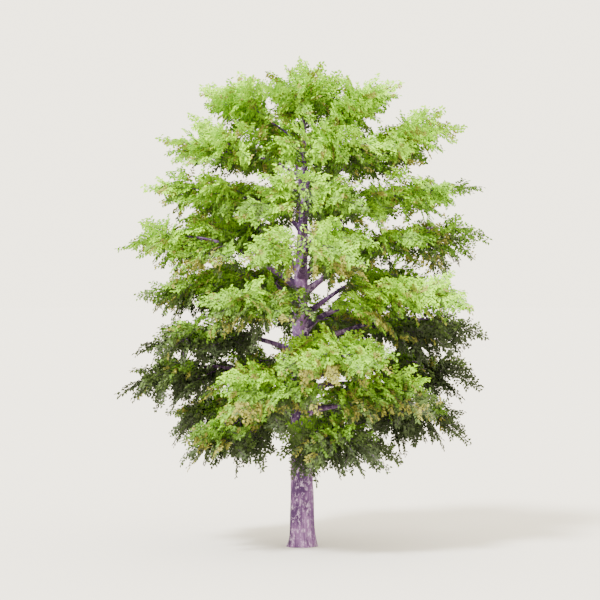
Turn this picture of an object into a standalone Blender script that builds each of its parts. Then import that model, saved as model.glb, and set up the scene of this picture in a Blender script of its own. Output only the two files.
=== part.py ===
"""A beech tree in full summer leaf, 22 m tall, in metres with +Z up.

The origin is the centre of the flat cut under the trunk, at ground level.
Azimuths are degrees from the front (-Y) round to the right (+X).

One trunk runs from the ground almost to the crown's top. Boughs leave it in tiers, each
a single tapering limb that ends where its mass of foliage begins. A mass is one stem
with side twigs, and blades on them that each stand for a spray of leaves. The limbs of
the three highest tiers are thin, so there the mass's own stem starts at the trunk.
"""

import bisect
import math
import random
from collections import namedtuple

import bmesh
import bpy
from mathutils import Vector
from mathutils.kdtree import KDTree

TREE = "beech_tree"
SEED = 41

# The trunk
TRUNK_TOP = 18.7
TRUNK_BASE_RADIUS = 0.52
TRUNK_TIP_RADIUS = 0.07
TAPER_POWER = 1.5
TRUNK_SIDES = 24
TRUNK_LEAN = 0.12  # how far the tip stands to the right of the foot
TRUNK_SWAY = 0.05
SWAY_TO_SIDE = 0.45  # how fast the sway goes round as the trunk rises, in radians a metre
SWAY_TO_BACK = 0.33
MERGE = 0.0001
RING_HEIGHTS = (0.0, 0.12, 0.35, 0.75, 1.4, 2.6, 4.5, 6.6, 8.8, 11.0, 13.2, 15.2, 17.2)

# The root flare: each buttress has an azimuth, a spread at the ground and a height
Buttress = namedtuple("Buttress", "azimuth spread height")
BUTTRESSES = (
    Buttress(azimuth=88, spread=0.22, height=0.80),
    Buttress(azimuth=38, spread=0.13, height=0.45),
    Buttress(azimuth=328, spread=0.15, height=0.50),
    Buttress(azimuth=272, spread=0.19, height=0.26),
    Buttress(azimuth=215, spread=0.20, height=0.60),
    Buttress(azimuth=150, spread=0.17, height=0.55),
)
BUTTRESS_SHARPNESS = 7

# Limbs
LIMB_TIP_RADIUS = 0.022
LIMB_TAPER = 0.85
LIMB_PULL = 0.36  # how far a limb's ends steer its bend, as a share of its length
LAST_BLADE = 0.96  # how far before its furthest leaf a limb ends, in blade lengths
COLLAR = 0.45  # a bough's foot is this share thicker where it leaves the trunk
COLLAR_REACH = 0.30
GAP = 0.0003  # between neighbours that meet
CUT_GAP = 0.0006  # added to the trunk's radius when it trims the limbs' feet
BOUGH_RINGS = 5
STEM_RINGS = 4
JOINT = 0.02  # share of the limb over which a stem runs straight on from its bough
LIMB_CLEARANCE = 0.03
BALL_SPACING = 0.1  # of the balls that stand for the trunk
BALLS_A_LIMB = 90
HEADING_STEP = 0.001

# The space of a mass
SPACE_MIDDLE = 0.55  # where a stem's bend pulls its space's centre over, along the stem
SPACE_LENGTH = 1.05
NEARLY_UPRIGHT = 0.95
FAR_OUTSIDE = 4.0  # past this depth a neighbour's space is not compared
SEARCH_STEPS = 24
SEARCH_REACH = 2.2

# Twigs and the blades that stand for sprays
TWIG_TIP_RADIUS = 0.016
TWIG_FOOT_RADIUS = 0.038
TWIG_ANGLE = 56
GOLDEN_PART = 0.618
SHORTEST_TWIG = 0.35
BLADE_LENGTH = 1.95
BLADE_WIDTH = 0.68  # of its length
BLADE_THICKNESS = 0.055
ROLLS = (25, 70)  # how far blades roll over from level, at the least and the most
BLADE_ANGLE = 52  # between a twig and the blade on its side
WIDEST = 0.45  # where a blade is widest, from its root
ROOT_DEPTH = 0.008  # how far the root of a side blade runs past its twig's axis
STEM_END_OVERLAP = 0.15  # how far the last twig starts back inside the stem
LEADER_NECK = 0.04  # how far it runs past the stem's end before its blade
LEAST_SPACING = 0.36  # between the middles of two blades, in blade lengths
BLADE_ROOM = 0.03  # kept round a blade that another one or a twig comes near
SIDE_ROOM = 1.3  # of that room at a blade's slanting sides
# Where a blade is tried against its space: along it and across it, inside and at its end
INNER_SPOTS = (
    (0.22, 0.0), (WIDEST, -1.0), (WIDEST, 1.0), (WIDEST, -0.5), (WIDEST, 0.5), (0.72, -0.5), (0.72, 0.5)
)
END_SPOTS = ((0.8, 0.0), (1.0, 0.0))
TWIG_SPOTS = (0.3, 0.5, 0.7, 0.85, 1.0)
SHORT_EDGE = 0.0005  # what fusing leaves shorter than this is closed up
SPACE_MARGIN = 0.05  # from a mass's blades to the next mass's space
SIDE_BLADES = ((0.6, 0.97), (0.3, 0.9))  # place along a twig, and size
TIP_DEPTH = 1.10  # how far into a space's skin a blade's tip and its sides may reach
SIDE_DEPTH = 1.50
TRIES = 9
GROWTHS = 10
STEEPEST = -70  # degrees, for anything that hangs
NEARLY_LEVEL_PART = 0.2  # under this a heading is upright, so it has no side to turn to
FACING_AWAY = 0.5  # under this a blade points away from the trunk, and rolls either way
TWIG_STRAY = 14  # degrees, either way
ANGLE_STRAY = 9
TWIG_DROOP = 0.3  # of its tier's droop
TWIG_SHORTENING = 0.06  # for each try
BLADE_SHORTENING = 0.04
STRAY_TRIES = 4  # tries over which a blade's stray doubles
TURN_TRIES = 3
TWIG_ROOM = 0.93  # blade lengths left for the blade at a twig's end
TWIG_FOOT_SHARE = 0.6  # of the stem's radius, at the most
CLEAR_FROM = 0.1  # a twig's line is held clear of blades from here on
END_BLADE = 0.98  # of a blade's length, at a twig's end
END_SPREAD = 0.12
SIDE_SPREAD = 0.25
END_TRIES = 3
STEM_USED = (0.07, 0.93)  # the twigs' feet lie between these
FOOT_STRAY = (0.3, 0.7)  # of the twigs' spacing
LEAST_SIDE_PLACE = 0.2  # metres from a twig's foot
LEADER_RADIUS = 0.4  # of the stem's tip

# Finishes
BARK_COLOUR = (0.36, 0.30, 0.40)
BARK_ROUGHNESS = 0.75
LEAF_COLOUR = (0.30, 0.48, 0.06)
LEAF_ROUGHNESS = 0.55
SHARP_EDGE = 40  # degrees

SEED_STEP = 17  # from one mass to the next

# Neighbours round the trunk never leave it from neighbouring places up a tier
FOOT_PLACES = 5
FOOT_SKIP = 2

# A tier: how its limbs leave the trunk, how they end, and how large its masses are.
# rise is in degrees above the level, entry is the share of the limb that is bough, and
# roundness turns a mass from a flat plate (0) to a ball (1).
Tier = namedtuple(
    "Tier",
    "foot foot_step foot_rise tip_rise entry foot_radius half_width half_depth roundness droop"
    " twigs side_blades",
)
# A limb of a tier: the side of the crown, its azimuth, and its furthest leaf's distance
# from the trunk's foot and height above the ground.
Reach = namedtuple("Reach", "side azimuth reach height")

TIERS = {
    "skirt": (
        Tier(5.6, 0.24, 6, -34, 0.33, 0.145, 3.1, 1.7, 0.5, 34, 6, 5),
        (
            Reach("front_right", 26, 6.0, 3.9),
            Reach("right", 84, 7.5, 4.9),
            Reach("back", 168, 6.4, 4.3),
            Reach("left", 246, 6.6, 5.0),
            Reach("front_left", 309, 6.2, 4.1),
        ),
    ),
    "low": (
        Tier(7.0, 0.24, 14, -22, 0.34, 0.155, 3.3, 1.8, 0.5, 30, 6, 5),
        (
            Reach("front_right", 52, 7.2, 6.2),
            Reach("right", 99, 8.3, 7.2),
            Reach("back", 196, 7.3, 6.9),
            Reach("left", 273, 8.2, 7.0),
            Reach("front", 340, 6.7, 6.2),
        ),
    ),
    "plate": (
        Tier(8.4, 0.24, 24, -14, 0.34, 0.150, 3.5, 1.8, 0.5, 30, 6, 6),
        (
            Reach("front_right", 21, 7.0, 8.2),
            Reach("right", 82, 8.3, 9.6),
            Reach("back", 160, 7.4, 9.7),
            Reach("left", 284, 7.5, 8.9),
        ),
    ),
    "middle": (
        Tier(9.8, 0.24, 28, -10, 0.35, 0.145, 3.3, 1.8, 0.5, 30, 6, 6),
        (
            Reach("front_right", 60, 8.4, 10.9),
            Reach("back_right", 128, 7.6, 11.9),
            Reach("back_left", 212, 7.5, 11.8),
            Reach("left", 268, 7.4, 11.4),
            Reach("front_left", 336, 6.9, 10.5),
        ),
    ),
    "shoulder": (
        Tier(11.3, 0.24, 36, -10, 0.36, 0.150, 3.4, 2.1, 0.7, 26, 6, 6),
        (
            Reach("right", 88, 8.4, 13.9),
            Reach("back_right", 156, 7.7, 12.9),
            Reach("back_left", 222, 7.5, 14.6),
            Reach("left", 280, 8.2, 13.5),
            Reach("front", 6, 7.3, 13.0),
        ),
    ),
    "upper": (
        Tier(13.2, 0.24, 48, 4, 0.30, 0.105, 3.6, 2.1, 0.8, 20, 7, 7),
        (
            Reach("right", 84, 8.1, 16.2),
            Reach("front", 4, 6.4, 15.8),
            Reach("left", 276, 7.0, 16.2),
            Reach("back", 178, 6.8, 17.0),
        ),
    ),
    "high": (
        Tier(15.2, 0.26, 54, 14, 0.30, 0.085, 3.2, 1.9, 0.9, 14, 7, 6),
        (
            Reach("right", 94, 7.4, 19.0),
            Reach("front", 28, 5.4, 18.4),
            Reach("left", 290, 6.6, 18.3),
            Reach("back", 192, 5.8, 19.3),
        ),
    ),
    "crest": (
        Tier(17.1, 0.25, 62, 30, 0.30, 0.055, 3.0, 1.9, 1.0, 8, 6, 5),
        (
            Reach("right", 70, 4.7, 20.8),
            Reach("left", 262, 4.6, 20.9),
        ),
    ),
    "top": (
        Tier(TRUNK_TOP, 0.0, 90, 90, 0.0, TRUNK_TIP_RADIUS, 3.6, 3.4, 1.0, 0, 9, 6),
        (Reach("of_the_crown", 0, 0.12, 22.0),),
    ),
}
TIERS_WITH_BOUGHS = ("skirt", "low", "plate", "middle", "shoulder")

# shares are the places of a limb's rings, from 0 at its foot to 1, and its mass's own stem
# has the rings from number own_from on.
Limb = namedtuple("Limb", "name curve radius bough_share tip shares own_from")
Space = namedtuple("Space", "centre along across normal half_length half_width half_depth")
Mass = namedtuple("Mass", "name tier limb space seed")
Twig = namedtuple("Twig", "start end foot_radius")
Blade = namedtuple("Blade", "root heading normal length")
Shoot = namedtuple("Shoot", "twig blade")  # a twig and the blade it ends in


def heading_of(azimuth, rise):
    a, r = math.radians(azimuth), math.radians(rise)
    return Vector((math.sin(a) * math.cos(r), -math.cos(a) * math.cos(r), math.sin(r)))


def mix(a, b, share):
    return a + (b - a) * share


def samples(first, last, count):
    return [mix(first, last, k / (count - 1)) for k in range(count)]


# The trunk


def trunk_axis(z):
    up = z / TRUNK_TOP
    side = TRUNK_LEAN * up**2 + TRUNK_SWAY * math.sin(SWAY_TO_SIDE * z)
    return Vector((side, TRUNK_SWAY * math.sin(SWAY_TO_BACK * z), z))


def trunk_radius(z):
    worn = min(1.0, z / TRUNK_TOP) ** TAPER_POWER
    return mix(TRUNK_BASE_RADIUS, TRUNK_TIP_RADIUS, worn)


def root_flare(z, azimuth):
    total = 0.0
    for b in BUTTRESSES:
        facing = max(0.0, math.cos(math.radians(azimuth - b.azimuth)))
        total += b.spread * math.exp(-z / b.height) * facing**BUTTRESS_SHARPNESS
    return total


def trunk_mesh(name, extra_radius=0.0):
    """The turned trunk, then pushed out into its root flare and onto its leaning axis."""
    profile = bmesh.new()
    heights = [*RING_HEIGHTS, TRUNK_TOP][::-1]
    points = [Vector((0, 0, heights[0]))]
    points += [Vector((trunk_radius(z) + extra_radius, 0, z)) for z in heights]
    points.append(Vector((0, 0, heights[-1])))
    verts = [profile.verts.new(p) for p in points]
    for a, b in zip(verts, verts[1:]):
        profile.edges.new((a, b))
    mesh = bpy.data.meshes.new(name)
    profile.to_mesh(mesh)
    profile.free()
    turned = bpy.data.objects.new(name, mesh)
    bpy.context.scene.collection.objects.link(turned)
    screw = turned.modifiers.new("turn", "SCREW")
    screw.axis = "Z"
    screw.steps = screw.render_steps = TRUNK_SIDES
    screw.use_merge_vertices = True
    screw.merge_threshold = MERGE
    solid = applied(turned)
    for v in solid.data.vertices:
        out = Vector((v.co.x, v.co.y, 0))
        if out.length > TRUNK_TIP_RADIUS / 2:
            azimuth = math.degrees(math.atan2(out.x, -out.y))
            out += out.normalized() * root_flare(v.co.z, azimuth)
        v.co = trunk_axis(v.co.z) + out
    return solid


# Tools for objects


def applied(obj):
    """obj with its modifiers made part of its mesh, as a new object of the same name."""
    bpy.context.view_layer.update()
    graph = bpy.context.evaluated_depsgraph_get()
    name = obj.name
    mesh = bpy.data.meshes.new_from_object(obj.evaluated_get(graph))
    bm = bmesh.new()
    bm.from_mesh(mesh)
    bmesh.ops.remove_doubles(bm, verts=bm.verts, dist=MERGE / 10)
    bmesh.ops.triangulate(bm, faces=bm.faces)
    bm.to_mesh(mesh)
    bm.free()
    mesh.transform(obj.matrix_world)
    bpy.data.objects.remove(obj)
    solid = bpy.data.objects.new(name, mesh)
    bpy.context.scene.collection.objects.link(solid)
    return solid


def tube(name, points, radii, resolution):
    """A tapering limb through points, flat at both ends."""
    data = bpy.data.curves.new(name, "CURVE")
    data.dimensions = "3D"
    data.bevel_depth = 1.0
    data.bevel_resolution = resolution  # gives 4 sides, and 2 more for each step
    data.use_fill_caps = True
    data.twist_mode = "MINIMUM"
    spline = data.splines.new("POLY")
    spline.points.add(len(points) - 1)
    for spot, place, radius in zip(spline.points, points, radii):
        spot.co = (*place, 1.0)
        spot.radius = radius
    obj = bpy.data.objects.new(name, data)
    bpy.context.scene.collection.objects.link(obj)
    return applied(obj)


def trimmed(obj, cutter):
    """obj cut clear of the trunk, from the cutter that is a little thicker than it."""
    cut = obj.modifiers.new("clear of the trunk", "BOOLEAN")
    cut.operation = "DIFFERENCE"
    cut.solver = "EXACT"
    cut.object = cutter
    return applied(obj)


def close_up_slivers(obj):
    """Merges points that fusing left very close, unless that would open the surface."""
    bm = bmesh.new()
    bm.from_mesh(obj.data)
    bmesh.ops.remove_doubles(bm, verts=bm.verts, dist=SHORT_EDGE)
    bmesh.ops.dissolve_degenerate(bm, dist=SHORT_EDGE / 10, edges=bm.edges)
    bmesh.ops.triangulate(bm, faces=bm.faces)
    if all(len(edge.link_faces) == 2 for edge in bm.edges):
        bm.to_mesh(obj.data)
    bm.free()


def keep_main_body(obj):
    """Drops loose scraps and the walls of sealed hollows, so one closed body is left."""
    bm = bmesh.new()
    bm.from_mesh(obj.data)
    bodies, seen = [], set()
    for first in bm.faces:
        if first in seen:
            continue
        seen.add(first)
        body = [first]
        for face in body:
            for edge in face.edges:
                for beside in edge.link_faces:
                    if beside not in seen:
                        seen.add(beside)
                        body.append(beside)
        bodies.append(body)
    bodies.sort(key=len, reverse=True)
    scraps = [face for body in bodies[1:] for face in body]
    if scraps:
        print(obj.name, "drops", len(bodies) - 1, "scraps of", len(scraps), "faces")
        bmesh.ops.delete(bm, geom=scraps, context="FACES")
        bm.to_mesh(obj.data)
    bm.free()


# Limbs


def limb_of(tier_name, tier, index, goal):
    """The whole limb of one mass, from the trunk's axis to the root of its last blade."""
    foot = trunk_axis(tier.foot + tier.foot_step * (index * FOOT_SKIP % FOOT_PLACES))
    tip = heading_of(goal.azimuth, 0) * goal.reach + Vector((0, 0, goal.height))
    end_heading = heading_of(goal.azimuth, tier.tip_rise)
    end = tip - end_heading * BLADE_LENGTH * LAST_BLADE
    pull = (end - foot).length * LIMB_PULL
    out = foot + heading_of(goal.azimuth, tier.foot_rise) * pull
    back = end - end_heading * pull

    def bend(t):
        s = 1 - t
        return s**3 * foot + 3 * s * s * t * out + 3 * s * t * t * back + t**3 * end

    has_bough = tier_name in TIERS_WITH_BOUGHS
    lower = samples(0.0, tier.entry, BOUGH_RINGS if has_bough else 2) if tier.entry else [0.0]
    upper = samples(tier.entry, 1.0, STEM_RINGS)[1:]
    rings = [bend(t) for t in lower]
    if has_bough or not tier.entry:
        before = rings[-1] - rings[-2] if has_bough else Vector((0, 0, 1))
        lower.append(tier.entry + JOINT)
        rings.append(rings[-1] + before.normalized() * JOINT * (end - foot).length)
    shares = lower + upper
    rings += [bend(t) for t in upper]
    own_from = BOUGH_RINGS - 1 if has_bough else 0

    def curve(t):
        k = max(0, bisect.bisect_left(shares, t, 1, len(shares) - 1) - 1)
        return mix(rings[k], rings[k + 1], (t - shares[k]) / (shares[k + 1] - shares[k]))

    length = (end - foot).length

    def radius(t):
        bare = mix(tier.foot_radius, LIMB_TIP_RADIUS, t**LIMB_TAPER)
        from_bark = max(0.0, t * length - trunk_radius(foot.z))
        collar = COLLAR * math.exp(-from_bark / COLLAR_REACH) if tier.entry else 0.0
        return bare * (1 + collar)

    name = f"{tier_name}_{goal.side}"
    return Limb(name, curve, radius, tier.entry, tip, shares, own_from)


def limb_heading(limb, t):
    """The way the limb runs just before t, or from its foot."""
    t = max(t, HEADING_STEP)
    return (limb.curve(t) - limb.curve(t - HEADING_STEP)).normalized()


def bough_solid(limb, cutter):
    steps = limb.shares[: limb.own_from + 1]
    points = [limb.curve(t) for t in steps]
    radii = [limb.radius(t) for t in steps]
    return trimmed(tube(f"bough_{limb.name}", points, radii, 1), cutter)


def stem_solid(mass, cutter):
    """The stem of a mass: it goes on from its bough's tip, or starts at the trunk."""
    limb = mass.limb
    steps = limb.shares[limb.own_from :]
    points = [limb.curve(t) for t in steps]
    radii = [limb.radius(t) for t in steps]
    name = f"foliage_{mass.name}"
    if mass.tier in TIERS_WITH_BOUGHS or mass.tier == "top":
        points[0] += (points[1] - points[0]).normalized() * GAP
        return tube(name, points, radii, 0)
    return trimmed(tube(name, points, radii, 0), cutter)


# The space of a mass


def space_of(limb, tier):
    start = limb.curve(limb.bough_share)
    middle = limb.curve(mix(limb.bough_share, 1.0, SPACE_MIDDLE))
    chord = limb.tip - start
    along = chord.normalized()
    upward = Vector((0, 0, 1)) if abs(along.z) < NEARLY_UPRIGHT else Vector((0, -1, 0))
    normal = (upward - along * upward.dot(along)).normalized()
    centre = mix((start + limb.tip) / 2, middle, 0.5)
    half_length = chord.length / 2 * SPACE_LENGTH
    return Space(
        centre, along, along.cross(normal), normal, half_length, tier.half_width, tier.half_depth
    )


def depth_in(space, point):
    """0 at the centre of a space and 1 on its skin."""
    d = point - space.centre
    return (
        (d.dot(space.along) / space.half_length) ** 2
        + (d.dot(space.across) / space.half_width) ** 2
        + (d.dot(space.normal) / space.half_depth) ** 2
    )


def slope_in(space, point):
    d = point - space.centre
    return 2 * (
        space.along * (d.dot(space.along) / space.half_length**2)
        + space.across * (d.dot(space.across) / space.half_width**2)
        + space.normal * (d.dot(space.normal) / space.half_depth**2)
    )


def way_out(space, point, heading):
    """How far heading runs from point to the skin of the space."""
    near, far = 0.0, SEARCH_REACH * max(space.half_length, space.half_width)
    for _ in range(SEARCH_STEPS):
        half = (near + far) / 2
        if depth_in(space, point + heading * half) < 1:
            near = half
        else:
            far = half
    return near


def owns(mass, point, masses, skin):
    """True where point is in the mass's space and clear of every nearer one."""
    own = depth_in(mass.space, point)
    if own > skin:
        return False
    for other in masses:
        if other is mass:
            continue
        theirs = depth_in(other.space, point)
        if theirs > FAR_OUTSIDE:
            continue
        slope = (slope_in(other.space, point) - slope_in(mass.space, point)).length
        if theirs - own < SPACE_MARGIN * slope:
            return False
    return True


def limb_tree(masses):
    """The trunk, boughs and stems as balls, to keep twigs and blades clear of them."""
    heights = [BALL_SPACING * k for k in range(int(TRUNK_TOP / BALL_SPACING))]
    balls = [(trunk_axis(z), trunk_radius(z), None) for z in heights]
    for mass in masses:
        share = mass.limb.bough_share if mass.tier in TIERS_WITH_BOUGHS else 0.0
        for t in samples(0.0, 1.0, BALLS_A_LIMB):
            owner = mass.name if t > share else None
            balls.append((mass.limb.curve(t), mass.limb.radius(t), owner))
    tree = KDTree(len(balls))
    for k, ball in enumerate(balls):
        tree.insert(ball[0], k)
    tree.balance()
    return tree, balls


def touches_limb(mass, centre, reach, touches, limbs):
    """True where a ball near centre, that isn't the mass's own stem, touches the thing."""
    tree, balls = limbs
    for place, k, _ in tree.find_range(centre, reach + TRUNK_BASE_RADIUS + LIMB_CLEARANCE):
        _, radius, owner = balls[k]
        if owner != mass.name and touches(place, radius + LIMB_CLEARANCE):
            return True
    return False


# The rule of growth: a stem with twigs, and blades along the twigs and at every tip


def blade_across(blade):
    return blade.normal.cross(blade.heading).normalized()


def blade_touches(blade, place, room):
    away = place - blade.root
    along = away.dot(blade.heading)
    if abs(away.dot(blade.normal)) > room + BLADE_THICKNESS / 2:
        return False
    if not -room < along < blade.length + room:
        return False
    share = min(1.0, max(0.0, along / blade.length))
    taper = min(share / WIDEST, (1 - share) / (1 - WIDEST))
    half_width = taper * BLADE_WIDTH * blade.length / 2
    return abs(away.dot(blade_across(blade))) < half_width + SIDE_ROOM * room


def outline(blade):
    """The lines of a blade: its four edges and its rib."""
    across = blade_across(blade) * (blade.length * BLADE_WIDTH / 2)
    middle = blade.root + blade.heading * blade.length * WIDEST
    tip = blade.root + blade.heading * blade.length
    left, right = middle + across, middle - across
    return [(blade.root, left), (left, tip), (blade.root, right), (right, tip), (blade.root, tip)]


def line_crosses(line, blade):
    start, end = line
    before = (start - blade.root).dot(blade.normal)
    after = (end - blade.root).dot(blade.normal)
    if before * after > 0 or before == after:
        return False
    return blade_touches(blade, mix(start, end, before / (before - after)), BLADE_ROOM)


def blades_cross(one, other):
    if (one.root - other.root).length > one.length + other.length:
        return False
    return any(line_crosses(line, other) for line in outline(one)) or any(
        line_crosses(line, one) for line in outline(other)
    )


def blade_fits(mass, blade, masses, limbs, others, twigs):
    across = blade_across(blade) * (blade.length * BLADE_WIDTH / 2)
    onward = blade.heading * blade.length
    for spots, skin in ((INNER_SPOTS, SIDE_DEPTH), (END_SPOTS, TIP_DEPTH)):
        for along, side in spots:
            if not owns(mass, blade.root + onward * along + across * side, masses, skin):
                return False
    middle = blade.root + onward / 2
    for other in others:
        between = other.root + other.heading * other.length / 2 - middle
        if between.length < LEAST_SPACING * blade.length or blades_cross(blade, other):
            return False
    if any(line_crosses(line, blade) for line in twigs):
        return False
    return not touches_limb(
        mass, middle, blade.length / 2, lambda at, room: blade_touches(blade, at, room), limbs
    )


def twig_touches(twig, place, room):
    way = twig.end - twig.start
    share = min(1.0, max(0.0, (place - twig.start).dot(way) / way.length_squared))
    return (twig.start + way * share - place).length < room + twig.foot_radius


def twig_fits(mass, twig, masses, limbs):
    for share in TWIG_SPOTS:
        if not owns(mass, mix(twig.start, twig.end, share), masses, SIDE_DEPTH):
            return False
    middle = (twig.start + twig.end) / 2
    reach = (twig.end - twig.start).length / 2
    return not touches_limb(
        mass, middle, reach, lambda at, room: twig_touches(twig, at, room), limbs
    )


def lowered(heading, degrees):
    """heading turned down towards the ground, but not past it."""
    level = Vector((heading.x, heading.y, 0))
    if level.length < NEARLY_LEVEL_PART:
        return heading
    level.normalize()
    rise = math.atan2(heading.z, heading.dot(level)) - math.radians(degrees)
    rise = max(rise, math.radians(STEEPEST))
    return level * math.cos(rise) + Vector((0, 0, math.sin(rise)))


def face_up_and_out(rng, root, heading):
    """The way a blade faces: up, rolled over to its side that is away from the trunk.

    One that points straight away from the trunk rolls over to either side.
    """
    side = Vector((0, 0, 1)).cross(heading)
    if side.length < NEARLY_LEVEL_PART:
        side = Vector((0, 1, 0)).cross(heading)
    side.normalize()
    outward = side.dot(Vector((root.x, root.y, 0)).normalized())
    over = 1 if outward > 0 else -1
    if abs(outward) < FACING_AWAY and rng.random() < 0.5:
        over = -over
    roll = math.radians(rng.uniform(*ROLLS)) * over
    return heading.cross(side) * math.cos(roll) + side * math.sin(roll)


def grow(mass, tier, masses, limbs, seed):
    """Twigs leave the stem by turns, each ends in a blade and bears more at its sides."""
    rng = random.Random(seed)
    space, limb = mass.space, mass.limb
    stem = [limb.curve(t) for t in limb.shares if t >= limb.bough_share]
    lines = list(zip(stem, stem[1:]))  # the stem's and twigs' axes
    blades = []

    def bear(root, aim, length, spread, own_line=None, tries=TRIES):
        """The first blade that fits of a few, each shorter and more astray."""
        others = [line for line in lines if line is not own_line]
        for k in range(tries):
            loose = Vector([rng.uniform(-1, 1) for _ in range(3)]) * spread * (1 + k / STRAY_TRIES)
            heading = lowered((aim + loose).normalized(), tier.droop * rng.uniform(0.3, 1))
            normal = face_up_and_out(rng, root, heading)
            blade = Blade(root, heading, normal, length * (1 - BLADE_SHORTENING * k))
            if blade_fits(mass, blade, masses, limbs, blades, others):
                blades.append(blade)
                return blade
        return None

    def sprout(t, turn):
        """A twig from the stem at t, out to where its last blade just fits."""
        start, onward = limb.curve(t), limb_heading(limb, t)
        for k in range(TRIES):
            stray = rng.uniform(-TWIG_STRAY, TWIG_STRAY) * (1 + k / TURN_TRIES)
            roll = math.radians(turn + stray)
            side = space.across * math.cos(roll) + space.normal * math.sin(roll)
            angle = math.radians(TWIG_ANGLE + rng.uniform(-ANGLE_STRAY, ANGLE_STRAY))
            heading = (onward * math.cos(angle) + side * math.sin(angle)).normalized()
            heading = lowered(heading, tier.droop * TWIG_DROOP)
            length = way_out(space, start, heading) - BLADE_LENGTH * TWIG_ROOM
            length = max(SHORTEST_TWIG, length * (1 - TWIG_SHORTENING * k))
            foot_radius = min(TWIG_FOOT_SHARE * limb.radius(t), TWIG_FOOT_RADIUS)
            twig = Twig(start, start + heading * length, foot_radius)
            clear_line = (mix(twig.start, twig.end, CLEAR_FROM), twig.end)
            if not twig_fits(mass, twig, masses, limbs) or any(
                line_crosses(clear_line, blade) for blade in blades
            ):
                continue
            blade = bear(twig.end, heading, BLADE_LENGTH * END_BLADE, END_SPREAD, tries=END_TRIES)
            if blade:
                return Shoot(twig, blade)
        return None

    end = limb.curve(1.0)
    last = (limb.tip - end).normalized()
    neck = end + last * LEADER_NECK
    leader = Twig(end - last * STEM_END_OVERLAP, neck, LIMB_TIP_RADIUS * LEADER_RADIUS)
    normal = face_up_and_out(rng, end, last)
    blades.append(Blade(neck, last, normal, (limb.tip - neck).length))
    shoots, side_blades = [Shoot(leader, blades[0])], []
    first = rng.random()
    for k in range(tier.twigs):
        share = (k + rng.uniform(*FOOT_STRAY)) / tier.twigs
        t = mix(limb.bough_share, 1.0, mix(*STEM_USED, share))
        to_side = 180 * (k % 2) + 180 * ((k * GOLDEN_PART + first) % 1 - 0.5) * tier.roundness
        shoot = sprout(t, to_side)
        if shoot:
            shoots.append(shoot)
            lines.append((shoot.twig.start, shoot.twig.end))
    for shoot, line in zip(shoots[1:], lines[len(stem) - 1 :]):
        way = shoot.twig.end - shoot.twig.start
        heading = way.normalized()
        out = 1 if rng.random() < 0.5 else -1
        sideways = heading.cross(space.normal).normalized()
        turned = math.radians(BLADE_ANGLE)
        for place, size in SIDE_BLADES:
            if way.length * place < LEAST_SIDE_PLACE:
                continue
            aim = heading * math.cos(turned) + sideways * out * math.sin(turned)
            root = mix(shoot.twig.start, shoot.twig.end, place)
            blade = bear(root, aim, BLADE_LENGTH * size, SIDE_SPREAD, own_line=line)
            if blade:
                sunk = blade.root - blade.heading * ROOT_DEPTH
                side_blades.append(blade._replace(root=sunk, length=blade.length + ROOT_DEPTH))
                if len(side_blades) == tier.side_blades:
                    return shoots, side_blades
            out = -out
    return shoots, side_blades


# Solids of a mass


def blade_area(growth):
    shoots, side_blades = growth
    blades = [shoot.blade for shoot in shoots] + side_blades
    return sum(blade.length**2 for blade in blades)


def grow_fullest(mass, tier, masses, limbs):
    """The fullest of a few growths, as some turns leave a mass with a bare side."""
    growths = [grow(mass, tier, masses, limbs, mass.seed + k) for k in range(GROWTHS)]
    return max(growths, key=blade_area)


def new_object(bm, name, collection):
    bmesh.ops.triangulate(bm, faces=bm.faces)
    bmesh.ops.recalc_face_normals(bm, faces=bm.faces)
    mesh = bpy.data.meshes.new(name)
    bm.to_mesh(mesh)
    bm.free()
    obj = bpy.data.objects.new(name, mesh)
    collection.objects.link(obj)


def ring_of_four(bm, centre, across, normal, half_width, half_depth):
    return [
        bm.verts.new(centre + across * half_width),
        bm.verts.new(centre + normal * half_depth),
        bm.verts.new(centre - across * half_width),
        bm.verts.new(centre - normal * half_depth),
    ]


def bridge(bm, ring, onward):
    for k in range(4):
        m = (k + 1) % 4
        bm.faces.new((ring[k], ring[m], onward[m], onward[k]))


def fan(bm, ring, point):
    apex = bm.verts.new(point)
    for k in range(4):
        bm.faces.new((ring[k], ring[(k + 1) % 4], apex))


def widest_ring(bm, blade):
    half_width = blade.length * BLADE_WIDTH / 2
    centre = blade.root + blade.heading * blade.length * WIDEST
    across = blade_across(blade)
    return ring_of_four(bm, centre, across, blade.normal, half_width, BLADE_THICKNESS / 2)


def shoot_object(shoot, name, collection):
    """A four-sided twig that widens at its end into a blade."""
    twig, blade = shoot.twig, shoot.blade
    bm = bmesh.new()
    way = (twig.end - twig.start).normalized()
    across = blade_across(blade)
    across = (across - way * across.dot(way)).normalized()
    normal = way.cross(across)
    foot = ring_of_four(bm, twig.start, across, normal, twig.foot_radius, twig.foot_radius)
    neck_radius = min(TWIG_TIP_RADIUS, twig.foot_radius)
    neck = ring_of_four(bm, twig.end, across, normal, neck_radius, neck_radius)
    wide = widest_ring(bm, blade)
    bm.faces.new(foot)
    bridge(bm, foot, neck)
    bridge(bm, neck, wide)
    fan(bm, wide, blade.root + blade.heading * blade.length)
    new_object(bm, name, collection)


def blade_object(blade, name, collection):
    """A flat octahedron: pointed at both ends, widest short of its middle."""
    bm = bmesh.new()
    wide = widest_ring(bm, blade)
    fan(bm, wide, blade.root)
    fan(bm, wide, blade.root + blade.heading * blade.length)
    new_object(bm, name, collection)


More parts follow.
